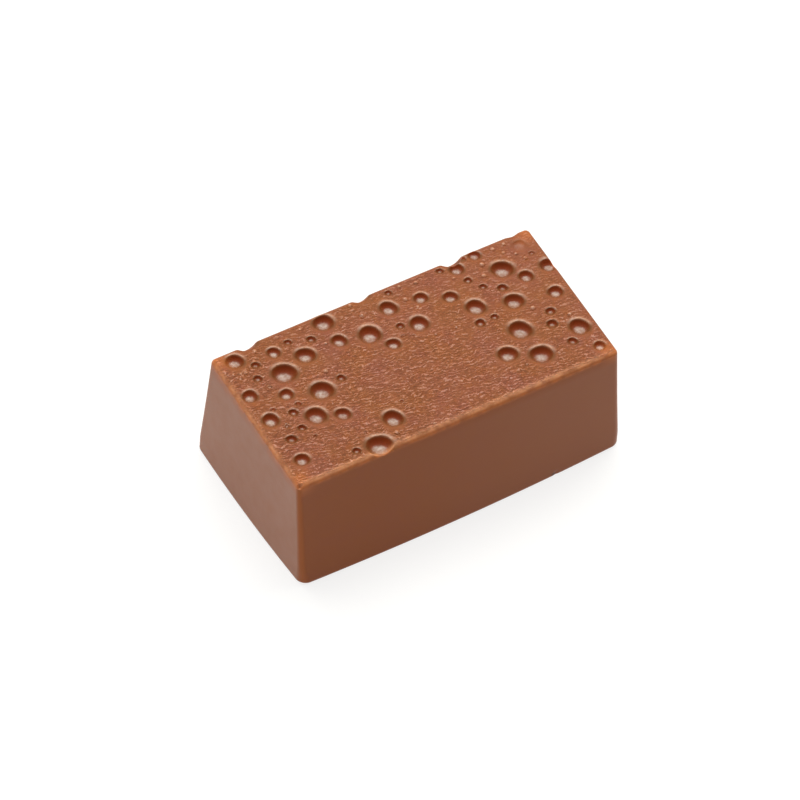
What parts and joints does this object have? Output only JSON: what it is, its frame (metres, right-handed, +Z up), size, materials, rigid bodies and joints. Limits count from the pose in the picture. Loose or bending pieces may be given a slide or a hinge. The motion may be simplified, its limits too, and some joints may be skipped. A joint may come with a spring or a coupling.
{
  "type": "moulded chocolate praline",
  "caption": "Rectangular moulded milk-chocolate praline with leaning sides, rounded top edges and a flat top covered in round bubble dimples.",
  "frame": {"origin": "middle of the flat base, on the surface the praline stands on", "axes": "+X along the praline's long side, +Y along its short side, +Z up through the dimpled top"},
  "size_m": [0.0384, 0.022, 0.014],
  "materials": {
    "chocolate": "satin milk chocolate, smooth on the sides and finely grained on the dimpled top"
  },
  "bodies": {
    "root": {"praline": "chocolate"}
  },
  "joints": []
}
